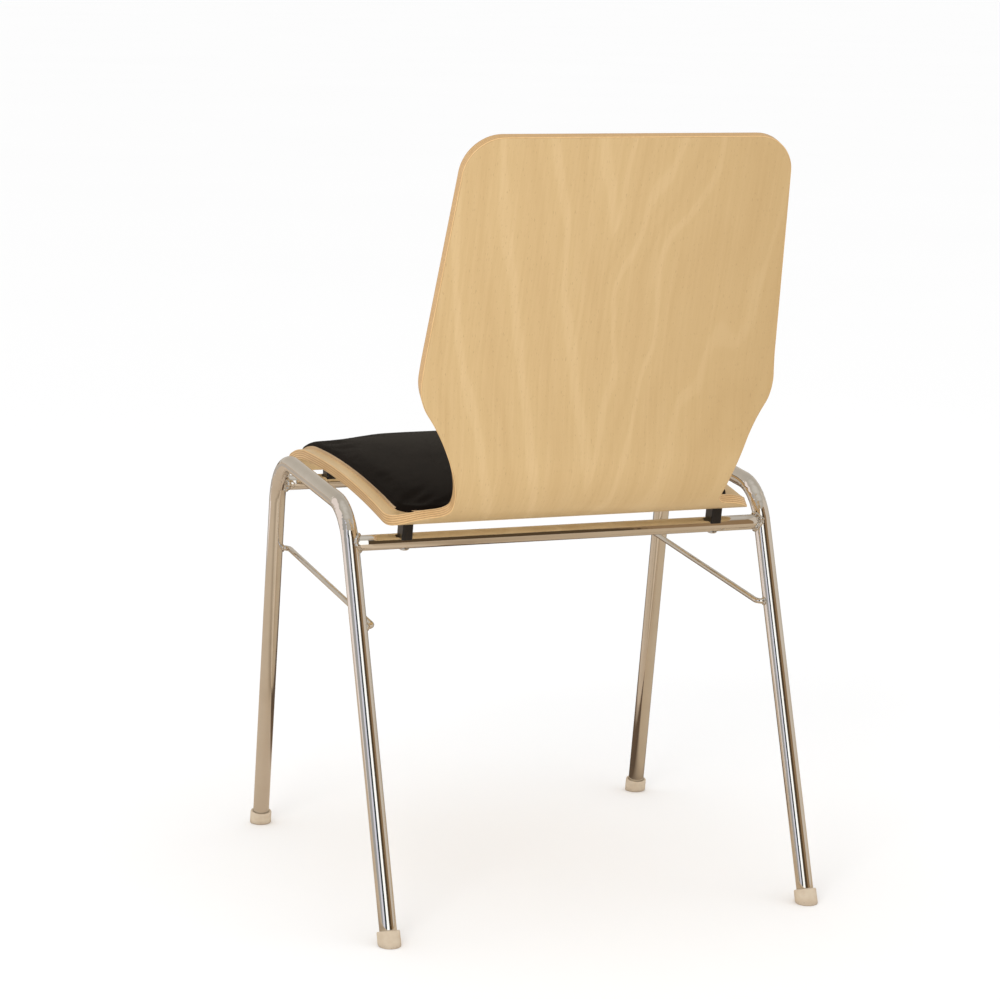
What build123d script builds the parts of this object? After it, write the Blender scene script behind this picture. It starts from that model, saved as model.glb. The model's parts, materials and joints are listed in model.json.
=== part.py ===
"""Stacking chair: moulded plywood shell with a seat pad on a bent-tube frame (mm)."""
from math import asin, atan2, cos, degrees, hypot, radians, sin
import os

from build123d import *

os.makedirs("parts", exist_ok=True)

# Frame tube
tube_diameter = 18.0
tube_wall = 1.5
crossbar_diameter = 16.5
crossbar_wall = 1.5
frame_half_span = 235.0      # middle of the chair to the middle of a side tube
foot_half_depth = 233.5      # middle of the chair to a foot, front to back
front_bend_y = -163.0        # corner point of the front bend
front_bend_z = 441.5
rear_bend_y = 81.0           # corner point of the rear bend
rear_bend_z = 425.0
bend_radius = 58.0

# Link bars between the legs of one side
link_diameter = 6.0
link_front_z = 332.5
link_rear_z = 307.5
link_gap = 4.0               # daylight between a link bar and the leg it is welded to
link_bend_radius = 8.0

# Weld beads
bar_bead = 1.8
link_bead = 1.4

# Foot glides
glide_wall = 3.0
glide_height = 15.0
glide_floor = 3.5
glide_edge = 1.6
glide_clearance = 0.05

# Plywood shell
shell_thickness = 11.0
seat_crest_y = -135.0        # highest point of the seat, middle of the sheet
seat_crest_z = 438.5
seat_radius = 1340.0
front_run = 37.5             # crest to the start of the rolled front edge
front_roll_radius = 150.0
front_roll_angle = 33.5
seat_bend_radius = 76.5
back_face_y = 187.5          # upright part of the back, middle of the sheet
upright_length = 52.0
lumbar_radius = 180.0
back_lean = 16.5
back_length = 233.0
seat_half_width = 203.0
seat_corner_radius = 30.0
hip_half_width = 195.0
back_taper = 5.2
top_corner_radius = 38.0
waist_half_width = 150.5
waist_v = -2.0               # the next three run up the sheet, square to the middle of the bend
seat_corner_v = -60.0
hip_v = 108.0
corner_turn_radius = 43.0
hip_turn_radius = 30.0

# Seat pad
pad_margin = 12.5
pad_front_y = -245.5
pad_rear_y = 122.0
pad_front_corner_radius = 20.0
pad_rear_corner_radius = 34.0
pad_board_thickness = 3.0
pad_foam_thickness = 7.6
pad_cover_thickness = 1.2
pad_edge_radius = 7.0

# Spacers and fasteners
spacer_height = 15.0
spacer_half_span = 176.0
spacer_width = 11.5
spacer_depth = 19.0
spacer_skirt = 4.0
spacer_fillet = 2.0
screw_diameter = 6.0
screw_head_diameter = 11.0
screw_head_height = 1.6
screw_hole_clearance = 0.25
nut_flange_diameter = 18.0
nut_flange_thickness = 1.4
nut_barrel_diameter = 8.0
nut_barrel_length = 7.0
nut_seat_clearance = 0.15
thread_clearance = 0.1

# Values that follow
tube_radius = tube_diameter / 2
bar_radius = crossbar_diameter / 2
link_radius = link_diameter / 2
seat_center_z = seat_crest_z - seat_radius
half_sheet = shell_thickness / 2
link_inset = tube_radius + link_gap + link_radius


def unit(dy, dz):
    size = hypot(dy, dz)
    return dy / size, dz / size


def leg_axis(end):
    """Direction up the leg, end = -1 for the front and 1 for the rear."""
    bend = (front_bend_y, front_bend_z) if end < 0 else (rear_bend_y, rear_bend_z)
    return unit(bend[0] - end * foot_half_depth, bend[1])


def leg_point(end, height):
    dy, dz = leg_axis(end)
    return end * foot_half_depth + dy * height / dz, height


def tube_end_height(end):
    return glide_floor + tube_radius * abs(leg_axis(end)[0])


def side_path(side):
    with BuildLine(Plane.YZ.offset(side * frame_half_span)) as path:
        FilletPolyline(
            leg_point(-1, tube_end_height(-1)),
            (front_bend_y, front_bend_z),
            (rear_bend_y, rear_bend_z),
            leg_point(1, tube_end_height(1)),
            radius=bend_radius,
        )
    return path.wire()


def side_tube(side, radius, mode):
    """Sweep a round bar along one side of the frame inside the active part."""
    path = side_path(side)
    with BuildSketch(Plane(origin=path @ 0, z_dir=path % 0)) as disc:
        Circle(radius)
    sweep(disc.sketch, path=path, mode=mode)


def bar_spot(end):
    """Point of the side tube that keeps a crossbar one spacer below the shell."""
    path = side_path(1)
    reach = seat_radius - half_sheet - spacer_height - bar_radius
    low, high = (0.0, 0.5) if end < 0 else (1.0, 0.5)
    for _ in range(40):
        middle = (low + high) / 2
        spot = path @ middle
        if hypot(spot.Y - seat_crest_y, spot.Z - seat_center_z) < reach:
            low = middle
        else:
            high = middle
    return spot.Y, spot.Z


bars = {"front": bar_spot(-1), "rear": bar_spot(1)}
corners = [(side, end) for end in (-1, 1) for side in (1, -1)]
side_names = {1: "left", -1: "right"}
end_names = {-1: "front", 1: "rear"}


def fixing_plane(side, end):
    """Frame of one fixing: origin on the crossbar axis, Z square to the seat."""
    bar_y, bar_z = bars[end_names[end]]
    tilt = atan2(bar_y - seat_crest_y, bar_z - seat_center_z)
    return Plane(
        origin=(side * spacer_half_span, bar_y, bar_z),
        x_dir=(1, 0, 0),
        z_dir=(0, sin(tilt), cos(tilt)),
    )


# Side frames
for side in (1, -1):
    with BuildPart() as side_frame:
        side_tube(side, tube_radius, Mode.ADD)
        side_tube(side, tube_radius - tube_wall, Mode.SUBTRACT)
    side_frame.part.label = f"side_frame_{side_names[side]}"
    export_step(side_frame.part, f"parts/side_frame_{side_names[side]}.step")

# Crossbars, coped to the side tubes and drilled for the shell screws
for end in (-1, 1):
    bar_y, bar_z = bars[end_names[end]]
    with BuildPart() as crossbar:
        with BuildSketch(Plane.YZ) as ring:
            with Locations((bar_y, bar_z)):
                Circle(bar_radius)
                Circle(bar_radius - crossbar_wall, mode=Mode.SUBTRACT)
        extrude(amount=frame_half_span, both=True)
        for side in (1, -1):
            side_tube(side, tube_radius, Mode.SUBTRACT)
            with BuildSketch(fixing_plane(side, end)) as hole:
                Circle(screw_diameter / 2 + screw_hole_clearance)
            extrude(amount=crossbar_diameter, both=True, mode=Mode.SUBTRACT)
    crossbar.part.label = f"{end_names[end]}_crossbar"
    export_step(crossbar.part, f"parts/{end_names[end]}_crossbar.step")


def link_plane():
    """Plane of the link bars: local X runs from the front leg to the rear leg."""
    front = leg_point(-1, link_front_z)
    rear = leg_point(1, link_rear_z)
    dy, dz = unit(rear[0] - front[0], rear[1] - front[1])
    plane = Plane(origin=(0, *front), x_dir=(0, dy, dz), z_dir=(0, dz, -dy))
    return plane, hypot(rear[0] - front[0], rear[1] - front[1])


def link_rod(side, mode):
    plane, length = link_plane()
    inner = side * (frame_half_span - link_inset)
    with BuildLine(plane) as path:
        FilletPolyline(
            (0, side * frame_half_span),
            (0, inner),
            (length, inner),
            (length, side * frame_half_span),
            radius=link_bend_radius,
        )
    route = path.wire()
    with BuildSketch(Plane(origin=route @ 0, z_dir=route % 0)) as disc:
        Circle(link_radius)
    sweep(disc.sketch, path=route, mode=mode)


# Link bars
for side in (1, -1):
    with BuildPart() as link_bar:
        link_rod(side, Mode.ADD)
        side_tube(side, tube_radius, Mode.SUBTRACT)
    link_bar.part.label = f"link_bar_{side_names[side]}"
    export_step(link_bar.part, f"parts/link_bar_{side_names[side]}.step")

# Weld beads round the ends of the crossbars
bar_band = bar_radius + bar_bead
leg_band = tube_radius + bar_bead
bar_beads = []
for side, end in corners:
    with BuildPart() as bead:
        with BuildSketch(Plane.YZ.offset(side * (frame_half_span - leg_band))) as ring:
            with Locations(bars[end_names[end]]):
                Circle(bar_band)
                Circle(bar_radius, mode=Mode.SUBTRACT)
        extrude(amount=side * leg_band)
        side_tube(side, leg_band, Mode.INTERSECT)
        side_tube(side, tube_radius, Mode.SUBTRACT)
    bar_beads.append(bead.part)
with BuildPart() as crossbar_welds:
    add(bar_beads)
crossbar_welds.part.label = "crossbar_welds"
export_step(crossbar_welds.part, "parts/crossbar_welds.step")

# Weld beads at the ends of the link bars
link_frame, link_length = link_plane()
link_beads = []
for side in (1, -1):
    for along in (0, link_length):
        bead_reach = side * (frame_half_span - tube_radius - link_bead)
        bead_start = link_frame.from_local_coords((along, bead_reach, 0))
        with BuildPart() as bead:
            with BuildSketch(Plane(origin=bead_start, z_dir=(side, 0, 0))) as ring:
                Circle(link_radius + link_bead)
                Circle(link_radius, mode=Mode.SUBTRACT)
            extrude(amount=tube_radius)
            side_tube(side, tube_radius, Mode.SUBTRACT)
            link_rod(side, Mode.SUBTRACT)
        link_beads.append(bead.part)
with BuildPart() as link_bar_welds:
    add(link_beads)
link_bar_welds.part.label = "link_bar_welds"
export_step(link_bar_welds.part, "parts/link_bar_welds.step")

# Foot glides
for side, end in corners:
    dy, dz = leg_axis(end)
    socket_start = tube_end_height(end) / dz
    with BuildPart() as glide:
        foot = (side * frame_half_span, end * foot_half_depth)
        axis_plane = Plane(origin=(*foot, 0), z_dir=(0, dy, dz))
        with BuildSketch(axis_plane.offset(-glide_height)) as outer:
            Circle(tube_radius + glide_wall)
        extrude(amount=2 * glide_height)
        fillet(glide.edges().sort_by(Axis.Z)[-1], glide_edge)
        with BuildSketch(axis_plane.offset(socket_start)) as socket:
            Circle(tube_radius + glide_clearance)
        extrude(amount=2 * glide_height, mode=Mode.SUBTRACT)
        with BuildSketch(Plane.XY) as floor_cut:
            with Locations(foot):
                Rectangle(6 * tube_diameter, 6 * tube_diameter)
        extrude(amount=-4 * glide_height, mode=Mode.SUBTRACT)
        fillet(glide.edges().group_by(Axis.Z)[0], glide_edge / 2)
    name = f"foot_glide_{end_names[end]}_{side_names[side]}"
    glide.part.label = name
    export_step(glide.part, f"parts/{name}.step")

# Middle line of the plywood sheet, from the rolled front edge to the top of the back
run_angle = degrees(asin(front_run / seat_radius))
seat_dip = degrees(asin((back_face_y - seat_bend_radius - seat_crest_y) / (seat_radius + seat_bend_radius)))
roll_start = (seat_crest_y - front_run, seat_center_z + seat_radius * cos(radians(run_angle)))
roll_center = (
    roll_start[0] + front_roll_radius * sin(radians(run_angle)),
    roll_start[1] - front_roll_radius * cos(radians(run_angle)),
)
front_angle = run_angle + front_roll_angle
bend_center = (
    back_face_y - seat_bend_radius,
    seat_center_z + (seat_radius + seat_bend_radius) * cos(radians(seat_dip)),
)


def sheet_band(low, high, full_back):
    """Section of a layer lying between two distances above the middle of the sheet."""
    def on(center, radius, angle):
        return center[0] + radius * sin(radians(angle)), center[1] + radius * cos(radians(angle))

    seat_center = (seat_crest_y, seat_center_z)
    with BuildLine() as outline:
        ends = []
        for height in (low, high):
            roll = CenterArc(roll_center, front_roll_radius + height, 90 + run_angle, front_roll_angle)
            seat = CenterArc(seat_center, seat_radius + height, 90 - seat_dip, seat_dip + run_angle)
            bend_sweep = 90 + seat_dip if full_back else 45
            bend_radius_here = seat_bend_radius - height
            bend = CenterArc(bend_center, bend_radius_here, -90 - seat_dip, bend_sweep)
            if full_back:
                upright = Line(bend @ 1, (bend @ 1) + Vector(0, upright_length))
                lumbar = CenterArc(
                    (back_face_y + lumbar_radius, (upright @ 1).Y),
                    lumbar_radius + height, 180, -back_lean,
                )
                lean = Line(lumbar @ 1, (lumbar @ 1) + Vector(
                    back_length * sin(radians(back_lean)), back_length * cos(radians(back_lean))))
                ends.append(((roll @ 1), (lean @ 1)))
            else:
                ends.append(((roll @ 1), (bend @ 1)))
        Line(ends[0][0], ends[1][0])
        Line(ends[0][1], ends[1][1])
    return outline.wires()[0]


def plan_outline(inset, front_y, rear_y, front_corner, rear_corner):
    """Outline seen from above: straight sides with rounded corners."""
    with BuildSketch(Plane.XY) as plan:
        with Locations((0, (front_y + rear_y) / 2)):
            Rectangle(2 * (seat_half_width - inset), rear_y - front_y)
        fillet(plan.vertices().group_by(Axis.Y)[0], front_corner)
        fillet(plan.vertices().group_by(Axis.Y)[-1], rear_corner)
    return plan.sketch


def fixing_cut(side, end, radius, low, high):
    """Cut a round hole along a fixing between two heights above the crossbar axis."""
    with BuildSketch(fixing_plane(side, end).offset(low)) as hole:
        Circle(radius)
    extrude(hole.sketch, amount=high - low, mode=Mode.SUBTRACT)


# Heights along a fixing, measured from the crossbar axis
shell_under = bar_radius + spacer_height
shell_upper = shell_under + shell_thickness
flange_upper = shell_upper - nut_seat_clearance
flange_under = flange_upper - nut_flange_thickness
barrel_end = flange_under - nut_barrel_length
screw_top = flange_under
screw_bore = screw_diameter / 2 + screw_hole_clearance

# Plywood shell
corner_drop = waist_v - seat_corner_v
corner_step = seat_half_width - waist_half_width
corner_turn = 2 * degrees(atan2(corner_step, corner_drop))
lower_waist_radius = corner_drop / sin(radians(corner_turn)) - corner_turn_radius
hip_rise = hip_v - waist_v
hip_turn = 2 * degrees(atan2(hip_half_width - waist_half_width, hip_rise))
upper_waist_radius = hip_rise / sin(radians(hip_turn)) - hip_turn_radius
lip_y = roll_center[0] - (front_roll_radius + half_sheet) * sin(radians(front_angle))
waist_plane = Plane(origin=(0, *bend_center), x_dir=(1, 0, 0), z_dir=(0, -1, 1))
with BuildPart() as shell:
    with BuildSketch(Plane.YZ) as sheet:
        make_face(sheet_band(-half_sheet, half_sheet, True).edges())
    extrude(amount=seat_half_width, both=True)
    seat_plan = plan_outline(0, lip_y, back_length + back_face_y, seat_corner_radius, seat_corner_radius)
    extrude(seat_plan, amount=2 * seat_radius, mode=Mode.INTERSECT)
    with BuildSketch(waist_plane) as waist:
        with BuildLine() as side_cut:
            corner = JernArc((seat_half_width, seat_corner_v), (0, 1), corner_turn_radius, corner_turn)
            lower = JernArc(corner @ 1, corner % 1, lower_waist_radius, -corner_turn)
            upper = JernArc(lower @ 1, lower % 1, upper_waist_radius, -hip_turn)
            hip = JernArc(upper @ 1, upper % 1, hip_turn_radius, hip_turn + back_taper)
            taper = Line(hip @ 1, hip @ 1 + (hip % 1) * back_length * 1.2)
            outside = 2 * seat_half_width
            Polyline(taper @ 1, (outside, (taper @ 1).Y), (outside, seat_corner_v), corner @ 0)
        make_face()
        mirror(about=Plane.YZ)
    extrude(amount=2 * back_length, both=True, mode=Mode.SUBTRACT)
    fillet(shell.edges().filter_by(GeomType.LINE).filter_by(
        lambda edge: edge.length < 2 * shell_thickness and edge.center().Z > bend_center[1] + back_length),
        top_corner_radius)
    for side, end in corners:
        fixing_cut(side, end, screw_bore, shell_under - spacer_height, shell_upper + 1)
        fixing_cut(side, end, nut_barrel_diameter / 2 + nut_seat_clearance, barrel_end - 1, shell_upper + 1)
        fixing_cut(side, end, nut_flange_diameter / 2 + nut_seat_clearance, flange_under, shell_upper + 1)
shell.part.label = "shell"
export_step(shell.part, "parts/shell.step")


def pad_layer(low, high, inset, edge):
    """One layer of the pad, following the seat, with its upper edge rounded."""
    with BuildPart() as layer:
        with BuildSketch(Plane.YZ) as section:
            make_face(sheet_band(half_sheet + low, half_sheet + high, False).edges())
        extrude(amount=seat_half_width, both=True)
        outline = plan_outline(
            pad_margin + inset, pad_front_y + inset, pad_rear_y - inset,
            pad_front_corner_radius - inset, pad_rear_corner_radius - inset,
        )
        extrude(outline, amount=2 * seat_crest_z, mode=Mode.INTERSECT)
        if edge:
            upper = layer.faces().filter_by(lambda face: face.normal_at(face.center()).Z > 0.5)
            rim = [e for e in upper.edges() if sum(e in f.edges() for f in upper) == 1]
            fillet(rim, edge)
    return layer.part


# Seat pad
foam_under = pad_board_thickness
foam_upper = foam_under + pad_foam_thickness
pad_board = pad_layer(0, foam_under, pad_cover_thickness, 0)
pad_board.label = "pad_board"
export_step(pad_board, "parts/pad_board.step")
foam_edge = pad_edge_radius - pad_cover_thickness
pad_foam = pad_layer(foam_under, foam_upper, pad_cover_thickness, foam_edge)
pad_foam.label = "pad_foam"
export_step(pad_foam, "parts/pad_foam.step")
pad_whole = pad_layer(0, foam_upper + pad_cover_thickness, 0, pad_edge_radius)
with BuildPart() as pad_cover:
    add(pad_whole)
    add(pad_board, mode=Mode.SUBTRACT)
    add(pad_foam, mode=Mode.SUBTRACT)
pad_cover.part.label = "pad_cover"
export_step(pad_cover.part, "parts/pad_cover.step")

# Spacers between the crossbars and the shell
for side, end in corners:
    plane = fixing_plane(side, end)
    with BuildPart() as spacer:
        with BuildSketch(plane.offset(spacer_skirt)) as block:
            RectangleRounded(spacer_width, spacer_depth, spacer_fillet)
        extrude(amount=2 * spacer_height)
        with BuildSketch(Plane.YZ.offset(side * spacer_half_span)) as saddle:
            with Locations((seat_crest_y, seat_center_z)):
                Circle(seat_radius - half_sheet)
            with Locations(bars[end_names[end]]):
                Circle(bar_radius, mode=Mode.SUBTRACT)
        extrude(amount=spacer_width, both=True, mode=Mode.INTERSECT)
        add(shell.part, mode=Mode.SUBTRACT)
        fixing_cut(side, end, screw_bore, 0, 2 * shell_under)
    name = f"shell_spacer_{end_names[end]}_{side_names[side]}"
    spacer.part.label = name
    export_step(spacer.part, f"parts/{name}.step")

# Screws up through the crossbars, and the tee nuts they pull on
with BuildPart() as shell_screws:
    for side, end in corners:
        plane = fixing_plane(side, end)
        with BuildSketch(plane.offset(-bar_radius)) as head:
            Circle(screw_head_diameter / 2)
        extrude(amount=-screw_head_height)
        with BuildSketch(plane.offset(-bar_radius)) as shank:
            Circle(screw_diameter / 2)
        extrude(amount=screw_top + bar_radius)
    fillet(shell_screws.faces().filter_by(lambda face: face.area > 60 and face.normal_at().Z < -0.9)
           .edges(), screw_head_height * 0.6)
shell_screws.part.label = "shell_screws"
export_step(shell_screws.part, "parts/shell_screws.step")
with BuildPart() as shell_tee_nuts:
    for side, end in corners:
        plane = fixing_plane(side, end)
        with BuildSketch(plane.offset(barrel_end)) as barrel:
            Circle(nut_barrel_diameter / 2)
        extrude(amount=nut_barrel_length)
        with BuildSketch(plane.offset(flange_under)) as flange:
            Circle(nut_flange_diameter / 2)
        extrude(amount=nut_flange_thickness)
        fixing_cut(side, end, screw_diameter / 2 + thread_clearance, barrel_end, flange_upper)
shell_tee_nuts.part.label = "shell_tee_nuts"
export_step(shell_tee_nuts.part, "parts/shell_tee_nuts.step")
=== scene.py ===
"""Looks of the stacking chair: plywood shell, leatherette seat pad and chromed tube frame, in metres."""
import json
import math
import random

import bmesh
import bpy
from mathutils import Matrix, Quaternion, Vector, noise

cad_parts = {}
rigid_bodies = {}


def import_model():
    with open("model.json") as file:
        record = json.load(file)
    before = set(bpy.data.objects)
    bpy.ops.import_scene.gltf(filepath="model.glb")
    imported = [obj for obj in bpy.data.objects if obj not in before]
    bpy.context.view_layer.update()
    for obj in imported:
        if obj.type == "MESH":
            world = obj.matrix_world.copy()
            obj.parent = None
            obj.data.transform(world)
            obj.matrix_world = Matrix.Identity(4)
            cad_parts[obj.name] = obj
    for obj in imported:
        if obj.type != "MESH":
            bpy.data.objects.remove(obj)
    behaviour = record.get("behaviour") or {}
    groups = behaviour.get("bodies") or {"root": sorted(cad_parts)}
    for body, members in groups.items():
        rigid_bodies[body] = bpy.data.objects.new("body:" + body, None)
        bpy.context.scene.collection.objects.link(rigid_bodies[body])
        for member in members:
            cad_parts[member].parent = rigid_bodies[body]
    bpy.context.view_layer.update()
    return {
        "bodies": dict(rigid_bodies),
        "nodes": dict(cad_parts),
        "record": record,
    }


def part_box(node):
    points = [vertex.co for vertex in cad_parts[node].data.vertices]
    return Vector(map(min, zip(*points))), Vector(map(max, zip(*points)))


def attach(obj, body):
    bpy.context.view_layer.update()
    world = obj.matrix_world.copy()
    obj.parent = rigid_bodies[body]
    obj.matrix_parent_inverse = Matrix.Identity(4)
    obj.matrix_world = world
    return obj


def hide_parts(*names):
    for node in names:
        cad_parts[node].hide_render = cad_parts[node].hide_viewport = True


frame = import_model()
root = next(iter(frame["bodies"]))
dice = random.Random(7)

# Frame tube
TUBE_RADIUS = 0.009
BAR_RADIUS = 0.00825
LINK_RADIUS = 0.003
FRONT_BEND = (-0.163, 0.4415)
REAR_BEND = (0.081, 0.425)
BEND_RADIUS = 0.058
FRONT_LINK_HEIGHT = 0.3325
REAR_LINK_HEIGHT = 0.3075
LINK_GAP = 0.004
LINK_BEND_RADIUS = 0.008
TUBE_END_HEIGHT = 0.004

# Welds: (bead radius, ripples round the bead)
CROSSBAR_WELD = (0.0026, 15)
LINK_WELD = (0.0016, 9)

# Foot glides; the side is (step out, height) and the sole is (draw in, height)
GLIDE_WALL = 0.003
GLIDE_LENGTH = 0.015
GLIDE_LIP = 0.0016
GLIDE_SIDE = ((0.0, 0.0110), (0.0, 0.0076), (-0.00012, 0.0070), (0.00012, 0.0064), (0.00005, 0.0056))
GLIDE_SOLE = ((0.0, 0.0012), (0.0003, 0.0004), (0.0011, 0.0), (0.0060, 0.0))

# Plywood sheet, middle line from the rolled front edge to the top of the back
SHEET_THICKNESS = 0.011
SEAT_CREST = (-0.135, 0.4385)
SEAT_RADIUS = 1.340
FRONT_RUN = 0.0375
ROLL_RADIUS = 0.150
ROLL_ANGLE = math.radians(33.5)
SEAT_BEND_RADIUS = 0.0765
BACK_FACE_Y = 0.1875
UPRIGHT_LENGTH = 0.052
LUMBAR_RADIUS = 0.180
BACK_LEAN = math.radians(16.5)
BACK_LENGTH = 0.233

# Plywood outline; V runs up the sheet, square to the middle of the seat bend
SEAT_HALF_WIDTH = 0.203
SEAT_CORNER_RADIUS = 0.030
HIP_HALF_WIDTH = 0.195
BACK_TAPER = math.radians(5.2)
TOP_CORNER_RADIUS = 0.038
WAIST_HALF_WIDTH = 0.1505
WAIST_V = -0.002
SEAT_CORNER_V = -0.060
HIP_V = 0.108
CORNER_TURN_RADIUS = 0.043
HIP_TURN_RADIUS = 0.030
EDGE_EASE = 0.0012
PLIES = 9

# Seat pad
PAD_MARGIN = 0.0125
PAD_FRONT_Y = -0.2455
PAD_REAR_Y = 0.122
PAD_FRONT_CORNER = 0.020
PAD_REAR_CORNER = 0.034
PAD_WALL = 0.0092
PAD_EDGE = 0.0058
PAD_CROWN = 0.0035
PAD_PRESSURE = 4.0
PAD_SWELL_LIMIT = 0.0025

# Shell fixings
SPACER_HALF_SPAN = 0.176
SCREW_HEAD_RADIUS = 0.0055
SCREW_HEAD_HEIGHT = 0.0016
RECESS_HALF_WIDTH = 0.00055
RECESS_REACH = 0.0030
RECESS_DEPTH = 0.0013


# ---------------------------------------------------------------- shader words

class Field:
    """One socket of a node tree, so that shader maths reads as plain arithmetic."""

    def __init__(self, tree, socket):
        self.tree, self.socket = tree, socket

    def math(self, operation, *others):
        inputs = dict(enumerate((self, *others)))
        return self.tree.node("ShaderNodeMath", {"operation": operation}, inputs)

    def __add__(self, other):
        return self.math("ADD", other)

    __radd__ = __add__

    def __mul__(self, other):
        return self.math("MULTIPLY", other)

    __rmul__ = __mul__

    def __sub__(self, other):
        return self.math("SUBTRACT", other)

    def __rsub__(self, other):
        return self * -1.0 + other

    def __truediv__(self, other):
        return self.math("DIVIDE", other)

    def __abs__(self):
        return self.math("ABSOLUTE")

    def above(self, edge, softness):
        """0 below the edge and 1 above it, with a soft step between."""
        step = {"interpolation_type": "SMOOTHSTEP", "clamp": True}
        limits = {"Value": self, "From Min": edge - softness, "From Max": edge + softness}
        return self.tree.node("ShaderNodeMapRange", step, limits)


class Tree:
    """A node tree with one way to add any node."""

    def __init__(self, nodes, links):
        self.nodes, self.links = nodes, links

    def node(self, kind, settings=None, inputs=None, output=0):
        made = self.nodes.new(kind)
        for name, value in (settings or {}).items():
            if name == "stops":
                self.set_stops(made.color_ramp, value)
            else:
                setattr(made, name, value)
        for name, value in (inputs or {}).items():
            self.feed(made.inputs[name], value)
        return Field(self, made.outputs[output])

    def feed(self, socket, value):
        if isinstance(value, Field):
            self.links.new(value.socket, socket)
        else:
            socket.default_value = value

    @staticmethod
    def set_stops(ramp, stops):
        while len(ramp.elements) < len(stops):
            ramp.elements.new(0.5)
        for element, (place, colour) in zip(ramp.elements, stops):
            element.position = place
            element.color = (*colour, 1.0)

    def vector(self, x, y, z):
        return self.node("ShaderNodeCombineXYZ", None, {"X": x, "Y": y, "Z": z})

    def axes(self, vector):
        return [self.node("ShaderNodeSeparateXYZ", None, {0: vector}, axis) for axis in "XYZ"]

    def noise(self, vector, scale=1.0, detail=2.0, roughness=0.5):
        inputs = {"Vector": vector, "Scale": scale, "Detail": detail, "Roughness": roughness}
        return self.node("ShaderNodeTexNoise", None, inputs, "Fac")

    def cells(self, vector, scale, feature):
        inputs = {"Vector": vector, "Scale": scale}
        return self.node("ShaderNodeTexVoronoi", {"feature": feature}, inputs, "Distance")

    def mix(self, share, first, second):
        """From the first colour to the second."""
        first = first if isinstance(first, Field) else (*first, 1.0)
        second = second if isinstance(second, Field) else (*second, 1.0)
        return self.node("ShaderNodeMix", {"data_type": "RGBA"}, {0: share, 6: first, 7: second}, 2)

    def ramp(self, value, stops):
        return self.node("ShaderNodeValToRGB", {"stops": stops}, {0: value}, "Color")

    def bump(self, height, depth, strength=1.0):
        return self.node("ShaderNodeBump", None, {"Height": height, "Distance": depth, "Strength": strength})

    def place(self):
        return self.node("ShaderNodeTexCoord", None, None, "Object")

    def attribute(self, name):
        return self.node("ShaderNodeAttribute", {"attribute_name": name}, None, "Vector")

    def share(self, name):
        return self.node("ShaderNodeAttribute", {"attribute_name": name}, None, "Fac")


def new_finish(name, **constants):
    """A material whose steady values sit on the shader itself, with underscores for spaces."""
    material = bpy.data.materials.new(name)
    material.use_nodes = True
    tree = Tree(material.node_tree.nodes, material.node_tree.links)
    shader = material.node_tree.nodes["Principled BSDF"]
    for key, value in constants.items():
        shader.inputs[key.replace("_", " ")].default_value = value
    tree.shader = shader
    return material, tree


def feed_shader(tree, **fields):
    for key, field in fields.items():
        tree.feed(tree.shader.inputs[key.replace("_", " ")], field)


# ---------------------------------------------------------------- finishes

BEECH_PALE = (0.725, 0.515, 0.262)
BEECH_MID = (0.650, 0.445, 0.208)
BEECH_DEEP = (0.570, 0.368, 0.158)
# painted shade, mixed in towards the sitter's right side
BEECH_PAINTED_SHADE = (0.450, 0.290, 0.118)
BEECH_FLECK = (0.360, 0.205, 0.085)


def beech_face_finish():
    """Flat-sawn beech veneer under clear lacquer: pointed figure, fine streaks, ray flecks, and painted shade
    towards the sitter's right.
    """
    material, tree = new_finish("beech_veneer", Coat_Roughness=0.22, Specular_IOR_Level=0.45)
    across, along, depth = tree.axes(tree.attribute("sheet"))
    side = depth.above(0.0, 0.0005)
    drift = tree.noise(tree.vector(across * 4.0, along * 1.6, side * 5.0), detail=3.0)
    sway = tree.noise(tree.vector(across * 14.0, along * 2.5, side * 3.0 + 9.0), detail=4.0)
    reach = abs(across + (drift - 0.5) * 0.16 - 0.012)
    rise = along * 3.2 - reach * 17.0 + drift * 4.5 + sway * 0.9
    figure = (rise * math.tau).math("SINE") * 0.5 + 0.5
    fine_figure = (rise * (3.0 * math.tau) + sway * 6.0).math("SINE") * 0.5 + 0.5
    streaks = tree.noise(tree.vector(across * 260.0, along * 5.0, side * 7.0), detail=4.0, roughness=0.6)
    pores = tree.noise(tree.vector(across * 1500.0, along * 60.0, side * 2.0), detail=2.0)
    flecks = tree.noise(tree.vector(across * 950.0, along * 170.0, side * 4.0), detail=1.0).above(0.70, 0.035)
    knots = tree.noise(tree.vector(across * 110.0, along * 30.0, side * 6.0), detail=1.0).above(0.865, 0.012)
    outline = figure.above(0.94, 0.04)
    tone = figure * 0.11 + fine_figure * 0.05 + streaks * 0.44 + pores * 0.22 + sway * 0.20 + outline * 0.10
    wood = tree.ramp(tone, [(0.18, BEECH_DEEP), (0.52, BEECH_MID), (0.86, BEECH_PALE)])
    painted_shade_right = 0.5 - across * 2.4  # painted shade: the sitter's right side is painted darker
    wood = tree.mix(painted_shade_right * painted_shade_right * 0.50, wood, BEECH_PAINTED_SHADE)
    wood = tree.mix(flecks * 0.40 + knots * 0.6, wood, BEECH_FLECK)
    polish = 0.34 + streaks * 0.10 - figure * 0.03
    relief = streaks * 0.35 + pores * 0.5 - flecks * 0.7
    feed_shader(tree, Base_Color=wood, Roughness=polish, Coat_Weight=0.30 + sway * 0.10,
                Normal=tree.bump(relief, 0.00012, 0.35))
    return material


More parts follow.
